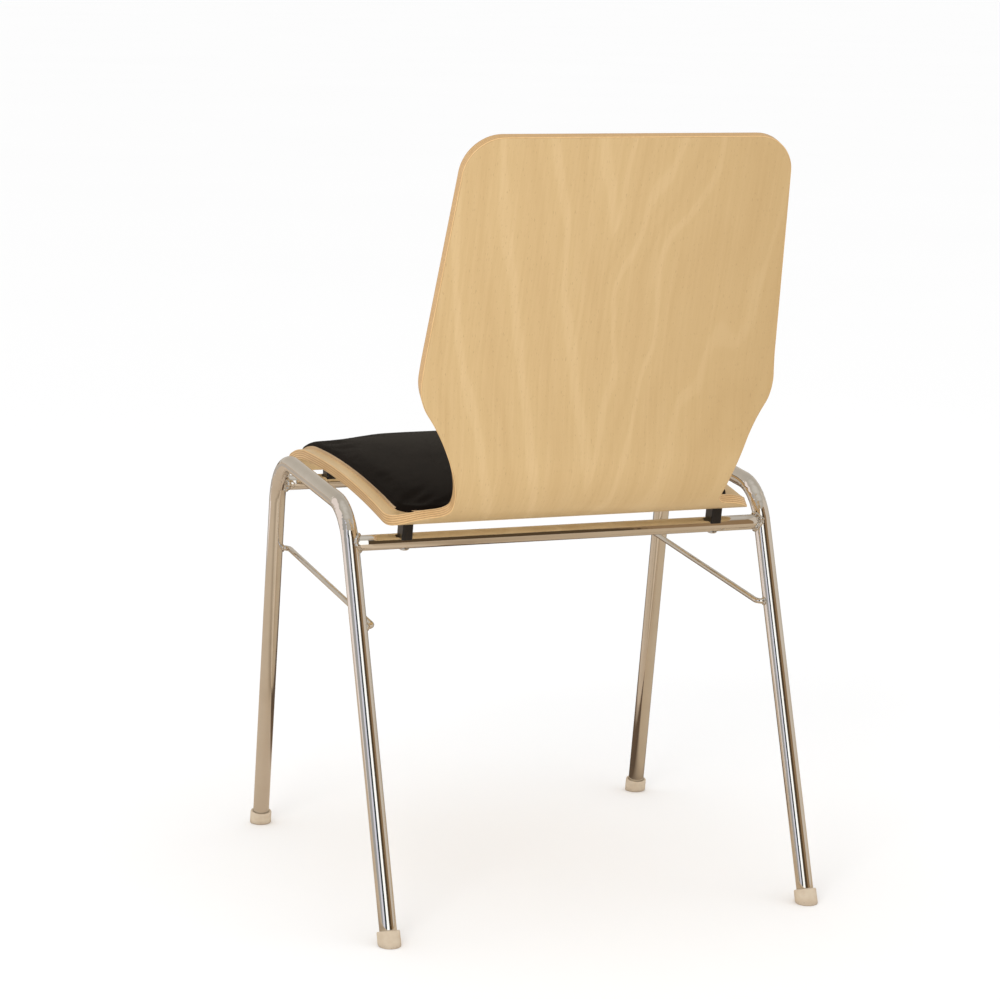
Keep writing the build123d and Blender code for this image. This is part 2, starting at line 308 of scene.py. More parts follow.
def ply_edge_finish():
    """Cut edge of the plywood: long-grain and cross-grain plies with thin glue lines, lacquered."""
    material, tree = new_finish("plywood_edge", Coat_Roughness=0.25, Specular_IOR_Level=0.4)
    across, along, depth = tree.axes(tree.attribute("sheet"))
    wander = tree.noise(tree.vector(across * 25.0, along * 25.0, 0.0), detail=2.0) - 0.5
    layer = (depth / SHEET_THICKNESS + 0.5 + wander * 0.012) * PLIES
    within = layer.math("FRACT")
    cross_grain = (layer.math("FLOOR") * 0.5).math("FRACT").above(0.25, 0.01)
    glue = abs(within - 0.5).above(0.455, 0.03)
    fibre = tree.noise(tree.vector(across * 300.0, along * 40.0, depth * 2200.0), detail=3.0)
    pores = tree.noise(tree.vector(across * 1600.0, along * 1600.0, depth * 2600.0), detail=1.0)
    long_ply = tree.ramp(fibre, [(0.25, (0.640, 0.385, 0.155)), (0.75, (0.800, 0.550, 0.265))])
    cross_ply = tree.ramp(pores, [(0.30, (0.400, 0.215, 0.080)), (0.72, (0.620, 0.370, 0.155))])
    wood = tree.mix(cross_grain, long_ply, cross_ply)
    wood = tree.mix(glue * 0.55, wood, (0.190, 0.095, 0.035))
    relief = fibre * 0.4 + pores * 0.4 * cross_grain - glue * 0.8
    feed_shader(tree, Base_Color=wood, Roughness=0.42 + pores * 0.12, Coat_Weight=0.20 + fibre * 0.1,
                Normal=tree.bump(relief, 0.00015, 0.5))
    return material


def chrome_finish(name, ripple):
    """Bright plating with faint waviness, hairline scuffs and finger haze."""
    material, tree = new_finish(name, Metallic=1.0, Specular_IOR_Level=0.5)
    place = tree.place()
    haze = tree.noise(place, 22.0, 4.0, 0.6)
    wave = tree.noise(place, 55.0, 2.0)
    across, along, height = tree.axes(place)
    scuffs = tree.noise(tree.vector(across * 900.0, along * 900.0, height * 45.0), detail=2.0).above(0.74, 0.03)
    bend = tree.share("bend")
    pucker = tree.noise(tree.vector(across * 120.0, along * 150.0, height * 150.0), detail=1.5)
    steel = tree.ramp(haze, [(0.30, (0.790, 0.770, 0.735)), (0.75, (0.860, 0.850, 0.830))])
    rough = 0.035 + haze * 0.05 + scuffs * 0.14
    relief = wave * 0.30 + scuffs * 0.03 + pucker * bend * ripple
    feed_shader(tree, Base_Color=steel, Roughness=rough, Normal=tree.bump(relief, 0.0010, 0.25))
    return material


def weld_finish():
    """Weld bead under the plating: overlapping ripples, with painted highlight on the crests and painted shade in
    the hollows.
    """
    material, tree = new_finish("plated_weld", Metallic=1.0, Specular_IOR_Level=0.5)
    place = tree.place()
    grit = tree.noise(place, 900.0, 3.0, 0.6)
    lump = tree.noise(place, 260.0, 2.0)
    # painted highlight and painted shade: the colour follows the bump, light on the crests and dark in the hollows
    steel = tree.ramp(lump, [(0.30, (0.560, 0.530, 0.480)), (0.70, (0.850, 0.840, 0.810))])
    feed_shader(tree, Base_Color=steel, Roughness=0.10 + grit * 0.14,
                Normal=tree.bump(lump * 0.8 + grit * 0.25, 0.0008, 0.6))
    return material


def leatherette_finish():
    """Black coated cloth: pebbled grain, soft sheen and a tone that turns a little warmer at random."""
    material, tree = new_finish("black_leatherette", Specular_IOR_Level=0.03)
    place = tree.place()
    pebbles = tree.cells(place, 900.0, "DISTANCE_TO_EDGE")
    creases = tree.cells(place, 380.0, "DISTANCE_TO_EDGE").above(0.05, 0.05)
    mottle = tree.noise(place, 35.0, 3.0)
    worn = tree.noise(place, 9.0, 2.0)
    coat = tree.ramp(mottle * 0.7 + worn * 0.3, [(0.30, (0.0048, 0.0031, 0.0022)), (0.75, (0.0082, 0.0055, 0.0040))])
    relief = (pebbles * 3.0).math("MINIMUM", 1.0) * 0.5 + creases * 0.3 + mottle * 0.2
    feed_shader(tree, Base_Color=coat, Roughness=0.50 - worn * 0.10 + (1.0 - creases) * 0.10,
                Normal=tree.bump(relief, 0.00022, 0.45))
    return material


def moulded_finish(name, pale, dark, roughness, grime):
    """Moulded plastic with a fine texture, rubbed spots and grime low down."""
    material, tree = new_finish(name, Specular_IOR_Level=0.45)
    place = tree.place()
    height = tree.axes(place)[2]
    blush = tree.noise(place, 120.0, 3.0)
    grain = tree.noise(place, 1500.0, 2.0)
    rubbed = tree.noise(place, 420.0, 4.0, 0.65).above(0.62, 0.06)
    low = 1.0 - height.above(0.0030, 0.0028)
    body = tree.ramp(blush, [(0.30, dark), (0.72, pale)])
    body = tree.mix(low * rubbed * grime + low * grime * 0.35, body, (0.230, 0.170, 0.130))
    feed_shader(tree, Base_Color=body, Roughness=roughness + grain * 0.12 - rubbed * 0.06,
                Normal=tree.bump(grain * 0.6 + blush * 0.5, 0.00012, 0.5))
    return material


def zinc_finish(name, tone):
    """Zinc-plated steel, dull and slightly cloudy."""
    material, tree = new_finish(name, Metallic=1.0)
    place = tree.place()
    cloud = tree.noise(place, 300.0, 3.0)
    grain = tree.noise(place, 2400.0, 2.0)
    steel = tree.ramp(cloud, [(0.30, [part * 0.80 for part in tone]), (0.75, tone)])
    feed_shader(tree, Base_Color=steel, Roughness=0.26 + grain * 0.18,
                Normal=tree.bump(grain, 0.00006, 0.4))
    return material


def board_finish():
    """Raw thin plywood under the pad."""
    material, tree = new_finish("pad_board_plywood")
    across, along, height = tree.axes(tree.place())
    fibre = tree.noise(tree.vector(across * 300.0, along * 12.0, height * 40.0), detail=3.0)
    wood = tree.ramp(fibre, [(0.25, (0.420, 0.280, 0.150)), (0.75, (0.620, 0.450, 0.270))])
    feed_shader(tree, Base_Color=wood, Roughness=0.70 + fibre * 0.1, Normal=tree.bump(fibre, 0.0001, 0.4))
    return material


beech_face = beech_face_finish()
ply_edge = ply_edge_finish()
tube_chrome = chrome_finish("chrome_plate", 4.5)
bar_chrome = chrome_finish("chrome_plate_bars", 0.0)
weld_chrome = weld_finish()
leatherette = leatherette_finish()
glide_plastic = moulded_finish("cream_plastic", (0.630, 0.525, 0.390), (0.560, 0.445, 0.318), 0.42, 0.55)
spacer_plastic = moulded_finish("black_plastic", (0.009, 0.008, 0.008), (0.005, 0.004, 0.004), 0.30, 0.0)
screw_zinc = zinc_finish("zinc_screw", (0.860, 0.850, 0.820))
nut_zinc = zinc_finish("zinc_nut", (0.560, 0.550, 0.520))
board_wood = board_finish()


# ---------------------------------------------------------------- mesh words

def add_piece(name, points, faces, finishes, stands_for, finish_of_face=None):
    """A smooth mesh that rides on the chair and stands for CAD nodes."""
    mesh = bpy.data.meshes.new(name)
    mesh.from_pydata([tuple(point) for point in points], [], faces)
    for finish in finishes:
        mesh.materials.append(finish)
    if finish_of_face:
        mesh.polygons.foreach_set("material_index", finish_of_face)
    mesh.update()
    tidy = bmesh.new()
    tidy.from_mesh(mesh)
    bmesh.ops.recalc_face_normals(tidy, faces=tidy.faces)
    tidy.to_mesh(mesh)
    tidy.free()
    mesh.shade_smooth()
    piece = bpy.data.objects.new(name, mesh)
    bpy.context.scene.collection.objects.link(piece)
    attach(piece, root)
    if stands_for:
        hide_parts(*stands_for)
    return piece


def stitch(first, second, closed=True):
    """Quads between two rows of vertex numbers."""
    count = len(first)
    last = count if closed else count - 1
    return [(first[i], first[(i + 1) % count], second[(i + 1) % count], second[i]) for i in range(last)]


def rings_to_faces(start, rings, count):
    """Quads that join whole rings of the same count, one after another."""
    rows = [list(range(start + ring * count, start + (ring + 1) * count)) for ring in range(rings)]
    return [quad for first, second in zip(rows, rows[1:]) for quad in stitch(first, second)]


def rounded_path(corners, radius, step_angle=math.radians(4)):
    """Points along straight runs joined by arcs: (point, direction, how far into a bend from 0 to 1)."""
    corners = [Vector(corner) for corner in corners]
    path = [(corners[0], (corners[1] - corners[0]).normalized(), 0.0)]
    for before, corner, after in zip(corners, corners[1:], corners[2:]):
        arriving = (corner - before).normalized()
        leaving = (after - corner).normalized()
        turn = arriving.angle(leaving)
        start = corner - arriving * radius * math.tan(turn / 2)
        inward = (leaving - arriving * arriving.dot(leaving)).normalized()
        center = start + inward * radius
        steps = max(2, round(turn / step_angle))
        for index in range(steps + 1):
            angle = turn * index / steps
            point = center - inward * radius * math.cos(angle) + arriving * radius * math.sin(angle)
            direction = arriving * math.cos(angle) + inward * math.sin(angle)
            path.append((point, direction, math.sin(math.pi * index / steps)))
    path.append((corners[-1], (corners[-1] - corners[-2]).normalized(), 0.0))
    return path


def split_runs(path, longest):
    """The same path with its long straight runs divided, so that vertices stay evenly spread."""
    fine = [path[0]]
    for point, direction, bend in path[1:]:
        last = fine[-1][0]
        parts = max(1, math.ceil((point - last).length / longest))
        for part in range(1, parts):
            fine.append((last.lerp(point, part / parts), direction, 0.0))
        fine.append((point, direction, bend))
    return fine


def rod(name, corners, radius, bend_radius, plane_normal, finish, stands_for, sides=40):
    """A round bar along a flat path, with a slightly eased end at each side."""
    path = split_runs(rounded_path(corners, bend_radius), 0.02)
    ease = radius * 0.12
    first, last = path[0], path[-1]
    stations = [(first[0], first[1], 0.0, radius - ease)]
    stations += [(first[0] + first[1] * ease, first[1], 0.0, radius)]
    stations += [(point, direction, bend, radius) for point, direction, bend in path[1:-1]]
    stations += [(last[0] - last[1] * ease, last[1], 0.0, radius)]
    stations += [(last[0], last[1], 0.0, radius - ease)]
    points, bends = [], []
    for point, direction, bend, reach in stations:
        upward = Vector(plane_normal).cross(direction).normalized()
        for side in range(sides):
            angle = math.tau * side / sides
            points.append(point + (Vector(plane_normal) * math.cos(angle) + upward * math.sin(angle)) * reach)
            bends.append(bend)
    faces = rings_to_faces(0, len(stations), sides)
    faces.append(tuple(reversed(range(sides))))
    faces.append(tuple(range((len(stations) - 1) * sides, len(stations) * sides)))
    piece = add_piece(name, points, faces, [finish], stands_for)
    mask = piece.data.attributes.new("bend", "FLOAT", "POINT")
    mask.data.foreach_set("value", bends)
    return piece


# ---------------------------------------------------------------- plywood sheet

RUN_ANGLE = math.asin(FRONT_RUN / SEAT_RADIUS)
SEAT_DIP = math.asin((BACK_FACE_Y - SEAT_BEND_RADIUS - SEAT_CREST[0]) / (SEAT_RADIUS + SEAT_BEND_RADIUS))
SEAT_CENTER_Z = SEAT_CREST[1] - SEAT_RADIUS
FRONT_ANGLE = RUN_ANGLE + ROLL_ANGLE
ROLL_CENTER = (
    SEAT_CREST[0] - FRONT_RUN + ROLL_RADIUS * math.sin(RUN_ANGLE),
    SEAT_CENTER_Z + (SEAT_RADIUS - ROLL_RADIUS) * math.cos(RUN_ANGLE),
)
BEND_CENTER = (
    BACK_FACE_Y - SEAT_BEND_RADIUS,
    SEAT_CENTER_Z + (SEAT_RADIUS + SEAT_BEND_RADIUS) * math.cos(SEAT_DIP),
)
HALF_SHEET = SHEET_THICKNESS / 2
LIP_Y = ROLL_CENTER[0] - (ROLL_RADIUS + HALF_SHEET) * math.sin(FRONT_ANGLE)

# (length, turn) of each stretch of the middle line; a turn to the left is positive
STRETCHES = [
    (ROLL_RADIUS * ROLL_ANGLE, -ROLL_ANGLE),
    (SEAT_RADIUS * (RUN_ANGLE + SEAT_DIP), -(RUN_ANGLE + SEAT_DIP)),
    (SEAT_BEND_RADIUS * (math.pi / 2 + SEAT_DIP), math.pi / 2 + SEAT_DIP),
    (UPRIGHT_LENGTH, 0.0),
    (LUMBAR_RADIUS * BACK_LEAN, -BACK_LEAN),
    (BACK_LENGTH, 0.0),
]
SHEET_LENGTH = sum(length for length, _ in STRETCHES)


def sheet_point(along, height):
    """(y, z) at a distance along the middle line and a height above it; past the ends it runs on straight."""
    y = ROLL_CENTER[0] - ROLL_RADIUS * math.sin(FRONT_ANGLE)
    z = ROLL_CENTER[1] + ROLL_RADIUS * math.cos(FRONT_ANGLE)
    heading, left = FRONT_ANGLE, along
    for number, (length, turn) in enumerate(STRETCHES):
        last = number == len(STRETCHES) - 1
        part = left if last or left < 0 else min(left, length)
        if turn and part > 0:
            radius = length / turn
            swung = heading + part / radius
            y += radius * (math.sin(swung) - math.sin(heading))
            z -= radius * (math.cos(swung) - math.cos(heading))
            heading = swung
        else:
            y += part * math.cos(heading)
            z += part * math.sin(heading)
        left -= part
        if left <= 0:
            break
    return y - height * math.sin(heading), z + height * math.cos(heading)


def corner_loss(distance, radius):
    """How far a rounded corner draws the side in, this far from the end of the sheet."""
    if distance >= radius:
        return 0.0
    return radius - math.sqrt(max(0.0, radius ** 2 - (radius - distance) ** 2))


def waist_half_width(y, z):
    """Half width across the waist and up the back, square to the middle of the seat bend."""
    v = ((y - BEND_CENTER[0]) + (z - BEND_CENTER[1])) / math.sqrt(2)
    drop = WAIST_V - SEAT_CORNER_V
    corner_turn = 2 * math.atan2(SEAT_HALF_WIDTH - WAIST_HALF_WIDTH, drop)
    lower_radius = drop / math.sin(corner_turn) - CORNER_TURN_RADIUS
    rise = HIP_V - WAIST_V
    hip_turn = 2 * math.atan2(HIP_HALF_WIDTH - WAIST_HALF_WIDTH, rise)
    upper_radius = rise / math.sin(hip_turn) - HIP_TURN_RADIUS
    hip_end = HIP_V + HIP_TURN_RADIUS * math.sin(BACK_TAPER)
    if v < SEAT_CORNER_V:
        return SEAT_HALF_WIDTH
    if v < SEAT_CORNER_V + CORNER_TURN_RADIUS * math.sin(corner_turn):
        return SEAT_HALF_WIDTH - CORNER_TURN_RADIUS + math.sqrt(CORNER_TURN_RADIUS ** 2 - (v - SEAT_CORNER_V) ** 2)
    if v < WAIST_V:
        return WAIST_HALF_WIDTH + lower_radius - math.sqrt(lower_radius ** 2 - (v - WAIST_V) ** 2)
    if v < WAIST_V + upper_radius * math.sin(hip_turn):
        return WAIST_HALF_WIDTH + upper_radius - math.sqrt(upper_radius ** 2 - (v - WAIST_V) ** 2)
    if v < hip_end:
        return HIP_HALF_WIDTH - HIP_TURN_RADIUS + math.sqrt(HIP_TURN_RADIUS ** 2 - (v - HIP_V) ** 2)
    at_end = HIP_HALF_WIDTH - HIP_TURN_RADIUS * (1 - math.cos(BACK_TAPER))
    return at_end - (v - hip_end) * math.tan(BACK_TAPER)


def shell_half_width(along, height):
    y, z = sheet_point(along, height)
    side = min(SEAT_HALF_WIDTH - corner_loss(y - LIP_Y, SEAT_CORNER_RADIUS), waist_half_width(y, z))
    return side - corner_loss(SHEET_LENGTH - along, TOP_CORNER_RADIUS)


def ease_ends(start, end, corner_start, corner_end, step):
    """Distances along the sheet, packed closer where a corner turns away from the end."""
    fine = [math.pi / 2 * index / 14 for index in range(15)]
    first = [start + corner_start * (1 - math.cos(angle)) for angle in fine]
    last = [end - corner_end * (1 - math.cos(angle)) for angle in reversed(fine)]
    count = round((last[0] - first[-1]) / step)
    middle = [first[-1] + (last[0] - first[-1]) * index / count for index in range(1, count)]
    return first + middle + last


def slab(name, rows, half_width, profile, columns, finishes, stands_for):
    """A closed slab that follows the sheet. The profile lists (height, inset) from its upper face to its lower."""
    loop_points, coords = [], []
    spread = [2 * column / columns - 1 for column in range(columns + 1)]

    def inset_row(index, height, inset):
        """Where the row's edge is, drawn in square to the outline."""
        before, after = rows[max(index - 1, 0)], rows[min(index + 1, len(rows) - 1)]
        run = after - before
        change = half_width(after, height) - half_width(before, height)
        size = math.hypot(run, change)
        if index in (0, len(rows) - 1):
            run, change, size = 0.0, 1.0 if index == 0 else -1.0, 1.0
        return rows[index] + inset * change / size, half_width(rows[index], height) - inset * run / size

    def put(along, across, height):
        y, z = sheet_point(along, height)
        loop_points.append((across, y, z))
        coords.append((across, along, height))
        return len(loop_points) - 1

    def face_grid(height, inset):
        grid = []
        for index in range(len(rows)):
            along, edge = inset_row(index, height, inset)
            grid.append([put(along, edge * share, height) for share in spread])
        return grid

    def rim(grid):
        side_a = [row[0] for row in grid]
        side_b = [row[-1] for row in reversed(grid)]
        return side_a[:-1] + grid[-1][:-1] + side_b[:-1] + list(reversed(grid[0]))[:-1]

    def ring(height, inset):
        edges = [inset_row(index, height, inset) for index in range(len(rows))]
        side_a = [put(along, -edge, height) for along, edge in edges[:-1]]
        far = [put(edges[-1][0], edges[-1][1] * share, height) for share in spread[:-1]]
        side_b = [put(along, edge, height) for along, edge in reversed(edges[1:])]
        near = [put(edges[0][0], edges[0][1] * -share, height) for share in spread[:-1]]
        return side_a + far + side_b + near

    upper = face_grid(*profile[0])
    lower = face_grid(*profile[-1])
    rings = [rim(upper)] + [ring(height, inset) for height, inset in profile[1:-1]] + [rim(lower)]
    faces = [quad for grid in (upper, lower) for a, b in zip(grid, grid[1:]) for quad in stitch(a, b, False)]
    on_face = len(faces)
    for first, second in zip(rings, rings[1:]):
        faces += stitch(first, second)
    which = [0] * on_face + [len(finishes) - 1] * (len(faces) - on_face)
    piece = add_piece(name, loop_points, faces, finishes, stands_for, which)
    sheet = piece.data.attributes.new("sheet", "FLOAT_VECTOR", "POINT")
    sheet.data.foreach_set("vector", [part for coord in coords for part in coord])
    return piece, {"upper": upper, "lower": lower, "rings": rings, "coords": coords}


def eased_profile(top, bottom, ease, steps=4):
    """(height, inset) down an edge whose two corners are rounded off by the same small radius."""
    angles = [math.pi / 2 * step / steps for step in range(steps + 1)]
    down = [(top - ease + ease * math.cos(angle), ease - ease * math.sin(angle)) for angle in angles]
    up = [(bottom + ease - ease * math.cos(angle), ease - ease * math.sin(angle)) for angle in reversed(angles)]
    middle = [(top + (bottom - top) * share, 0.0) for share in (0.25, 0.5, 0.75)]
    return down + middle + up


def make_shell():
    rows = ease_ends(0.0, SHEET_LENGTH, SEAT_CORNER_RADIUS, TOP_CORNER_RADIUS, 0.0025)
    profile = eased_profile(HALF_SHEET, -HALF_SHEET, EDGE_EASE)
    finishes = [beech_face, ply_edge]
    return slab("plywood_shell", rows, shell_half_width, profile, 72, finishes, ["shell"])[0]


# ---------------------------------------------------------------- seat pad

def along_at(y, height):
    """Distance along the sheet of the seat point at this y."""
    low, high = 0.0, SHEET_LENGTH / 2
    for _ in range(40):
        middle = (low + high) / 2
        if sheet_point(middle, height)[0] < y:
            low = middle
        else:
            high = middle
    return low


def swell(pad, glued, pressure, limit):
    """Blow the pad up like foam under a tight cover, with its underside glued, and keep the result."""
    rest = [vertex.co.copy() for vertex in pad.data.vertices]
    group = pad.vertex_groups.new(name="glued")
    group.add(glued, 1.0, "REPLACE")
    cloth = pad.modifiers.new("swell", "CLOTH")
    cloth.settings.quality = 5
    cloth.settings.mass = 0.3
    cloth.settings.tension_stiffness = 15
    cloth.settings.compression_stiffness = 15
    cloth.settings.bending_stiffness = 0.5
    cloth.settings.vertex_group_mass = "glued"
    cloth.settings.use_pressure = True
    cloth.settings.uniform_pressure_force = pressure
    cloth.settings.effector_weights.gravity = 0
    cloth.collision_settings.use_collision = False
    scene = bpy.context.scene
    for number in range(1, 21):
        scene.frame_set(number)
    solved = pad.evaluated_get(bpy.context.evaluated_depsgraph_get()).data
    moved = [vertex.co.copy() for vertex in solved.vertices]
    pad.modifiers.remove(cloth)
    pad.vertex_groups.clear()
    scene.frame_set(1)
    for vertex, start, end in zip(pad.data.vertices, rest, moved):
        shift = end - start
        if shift.length > limit:
            shift *= limit / shift.length
        vertex.co = start + shift
    pad.data.update()


def make_pad():
    """Thin upholstered pad: it follows the seat, with a rolled edge and a low crown."""
    lift = HALF_SHEET + 0.0002
    front = along_at(PAD_FRONT_Y, lift)
    rear = along_at(PAD_REAR_Y, lift)

    def half_width(along, height):
        side = SEAT_HALF_WIDTH - PAD_MARGIN - corner_loss(along - front, PAD_FRONT_CORNER)
        return side - corner_loss(rear - along, PAD_REAR_CORNER)

    angles = [math.pi / 2 * step / 5 for step in range(6)]
    roll = [(lift + PAD_WALL - PAD_EDGE * (1 - math.cos(angle)), PAD_EDGE * (1 - math.sin(angle)))
            for angle in angles]
    profile = roll + [(lift, 0.0006)]
    rows = ease_ends(front, rear, PAD_FRONT_CORNER, PAD_REAR_CORNER, 0.0055)
    pad, layout = slab("seat_pad", rows, half_width, profile, 64, [leatherette],
                       ["pad_cover", "pad_foam"])
    middle, half_length = (front + rear) / 2, (rear - front) / 2
    for row in layout["upper"]:
        for number in row:
            across, along, height = layout["coords"][number]
            edge = max(0.001, half_width(along, height) - PAD_EDGE)
            side = 1 - min(1.0, abs(across) / edge) ** 4
            end = 1 - min(1.0, abs(along - middle) / half_length) ** 6
            y, z = sheet_point(along, height + PAD_CROWN * side * end)
            pad.data.vertices[number].co = (across, y, z)
    glued = sorted({number for row in layout["lower"] for number in row})
    swell(pad, glued, PAD_PRESSURE, PAD_SWELL_LIMIT)
    smooth = pad.modifiers.new("finer", "SUBSURF")
    smooth.levels = smooth.render_levels = 1
    return pad


# ---------------------------------------------------------------- tube frame

def node_middle(name):
    low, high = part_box(name)
    return (low + high) / 2


half_span = node_middle("side_frame_left").x
foot_reach = abs(frame["record"]["mounts"][0]["pos_m"][1])
foot_y = {"front": -foot_reach, "rear": foot_reach}
bend_of = {"front": FRONT_BEND, "rear": REAR_BEND}
bar_middle = {end: node_middle(f"{end}_crossbar") for end in ("front", "rear")}


def leg_direction(end):
    bend = bend_of[end]
    return Vector((0.0, bend[0] - foot_y[end], bend[1])).normalized()


def leg_point(end, side, height):
    direction = leg_direction(end)
    return Vector((side * half_span, foot_y[end], 0.0)) + direction * (height / direction.z)


def make_side_frame(side, word):
    start = leg_point("front", side, TUBE_END_HEIGHT)
    finish = leg_point("rear", side, TUBE_END_HEIGHT)
    corners = [start, (side * half_span, *FRONT_BEND), (side * half_span, *REAR_BEND), finish]
    return rod(f"side_frame_tube_{word}", corners, TUBE_RADIUS, BEND_RADIUS, (1.0, 0.0, 0.0),
               tube_chrome, [f"side_frame_{word}"], sides=56)


def make_crossbar(end):
    middle = bar_middle[end]
    reach = half_span - TUBE_RADIUS * 0.45
    corners = [(-reach, middle.y, middle.z), (reach, middle.y, middle.z)]
    return rod(f"{end}_crossbar_tube", corners, BAR_RADIUS, 0.0, (0.0, 0.0, 1.0),
               bar_chrome, [f"{end}_crossbar"], sides=48)


def link_corners(side):
    inner = side * (half_span - TUBE_RADIUS - LINK_GAP - LINK_RADIUS)
    outer = side * (half_span - TUBE_RADIUS * 0.6)
    front = leg_point("front", side, FRONT_LINK_HEIGHT)
    rear = leg_point("rear", side, REAR_LINK_HEIGHT)
    return [Vector((outer, front.y, front.z)), Vector((inner, front.y, front.z)),
            Vector((inner, rear.y, rear.z)), Vector((outer, rear.y, rear.z))]


def make_link_bar(side, word):
    corners = link_corners(side)
    across = (corners[1] - corners[0]).cross(corners[2] - corners[1]).normalized()
    return rod(f"link_rod_{word}", corners, LINK_RADIUS, LINK_BEND_RADIUS, across,
               bar_chrome, [f"link_bar_{word}"], sides=28)


def weld_bead(center, side, along, bar_radius, bead_radius, ripples):
    """Points and faces of one lumpy bead where a bar meets the inner face of a side tube."""
    steps, sides = 96, 12
    across = Vector((side, 0.0, 0.0)).cross(along)
    points = []
    phase = dice.random() * math.tau
    for step in range(steps):
        angle = math.tau * step / steps
        radial = along * math.cos(angle) + across * math.sin(angle)
        inset = math.sqrt(max(0.0, TUBE_RADIUS ** 2 - (bar_radius * math.sin(angle)) ** 2))
        seat = Vector((side * (half_span - inset), center.y, center.z)) + radial * bar_radius
        scallop = abs(math.sin(angle * ripples / 2 + phase))
        lump = noise.noise(seat * 420.0)
        radius = bead_radius * (0.86 + 0.22 * scallop + 0.28 * lump)
        outward = (radial - Vector((side, 0.0, 0.0)) * 0.6).normalized()
        turned = outward.cross(Vector(radial.cross(Vector((side, 0.0, 0.0))))).normalized()
        for number in range(sides):
            around = math.tau * number / sides
            points.append(seat + (outward * math.cos(around) + turned * math.sin(around)) * radius)
    rows = [[step * sides + number for number in range(sides)] for step in range(steps)]
    faces = [quad for step in range(steps) for quad in stitch(rows[step], rows[(step + 1) % steps])]
    return points, faces


def make_welds(name, spots, stands_for):
    points, faces = [], []
    for spot in spots:
        more_points, more_faces = weld_bead(*spot)
        start = len(points)
        points += more_points
        faces += [tuple(number + start for number in face) for face in more_faces]
    return add_piece(name, points, faces, [weld_chrome], stands_for)


def make_all_welds():
    rail = Vector((0.0, REAR_BEND[0] - FRONT_BEND[0], REAR_BEND[1] - FRONT_BEND[1])).normalized()
    bars = [(bar_middle[end], side, rail if end == "front" else leg_direction(end), BAR_RADIUS, *CROSSBAR_WELD)
            for end in ("front", "rear") for side in (1, -1)]
    make_welds("crossbar_weld_beads", bars, ["crossbar_welds"])
    heights = {"front": FRONT_LINK_HEIGHT, "rear": REAR_LINK_HEIGHT}
    links = [(leg_point(end, side, height), side, leg_direction(end), LINK_RADIUS, *LINK_WELD)
             for end, height in heights.items() for side in (1, -1)]
    make_welds("link_weld_beads", links, ["link_bar_welds"])


# ---------------------------------------------------------------- glides, spacers and screws

def make_glide(end, side, word):
    """A moulded cup on the end of a leg, cut level with the floor, with a rounded lip and a low ridge."""
    outer = TUBE_RADIUS + GLIDE_WALL
    axis = leg_direction(end)
    foot = Vector((side * half_span, foot_y[end], 0.0))
    profile = [(TUBE_RADIUS + 0.00005, GLIDE_LENGTH - 0.004), (TUBE_RADIUS + 0.00005, GLIDE_LENGTH - 0.0004)]
    for step in range(7):
        angle = math.pi / 2 * step / 6
        profile.append((outer - GLIDE_LIP * (1 - math.sin(angle)), GLIDE_LENGTH - GLIDE_LIP * (1 - math.cos(angle))))
    profile += [(outer + step_out, height) for step_out, height in GLIDE_SIDE]
    sides = 56
    level = Vector((1.0, 0.0, 0.0))
    forward = axis.cross(level)
    points = []
    for radius, height in profile:
        for number in range(sides):
            angle = math.tau * number / sides
            radial = level * math.cos(angle) + forward * math.sin(angle)
            points.append(foot + axis * height + radial * radius)
    for draw_in, height in GLIDE_SOLE:
        for number in range(sides):
            angle = math.tau * number / sides
            radial = level * math.cos(angle) + forward * math.sin(angle)
            edge = foot + radial * (outer - draw_in)
            points.append(edge + axis * ((height - edge.z) / axis.z))
    rings = len(profile) + len(GLIDE_SOLE)
    faces = rings_to_faces(0, rings, sides)
    faces.append(tuple(range((rings - 1) * sides, rings * sides)))
    faces.append(tuple(reversed(range(sides))))
    node = f"foot_glide_{end}_{word}"
    return add_piece(f"glide_cup_{end}_{word}", points, faces, [glide_plastic], [node])


def finish_spacers():
    """The saddle spacers keep their shape, with the moulded edges softened."""
    for name, node in frame["nodes"].items():
        if name.startswith("shell_spacer"):
            node.data.materials.clear()
            node.data.materials.append(spacer_plastic)
            soften = node.modifiers.new("moulded_edges", "BEVEL")
            soften.width = 0.0006
            soften.segments = 3
            soften.limit_method = "ANGLE"


def fixing_axis(end):
    """The direction square to the seat over a crossbar."""
    middle = bar_middle[end]
    return Vector((0.0, middle.y - SEAT_CREST[0], middle.z - SEAT_CENTER_Z)).normalized()


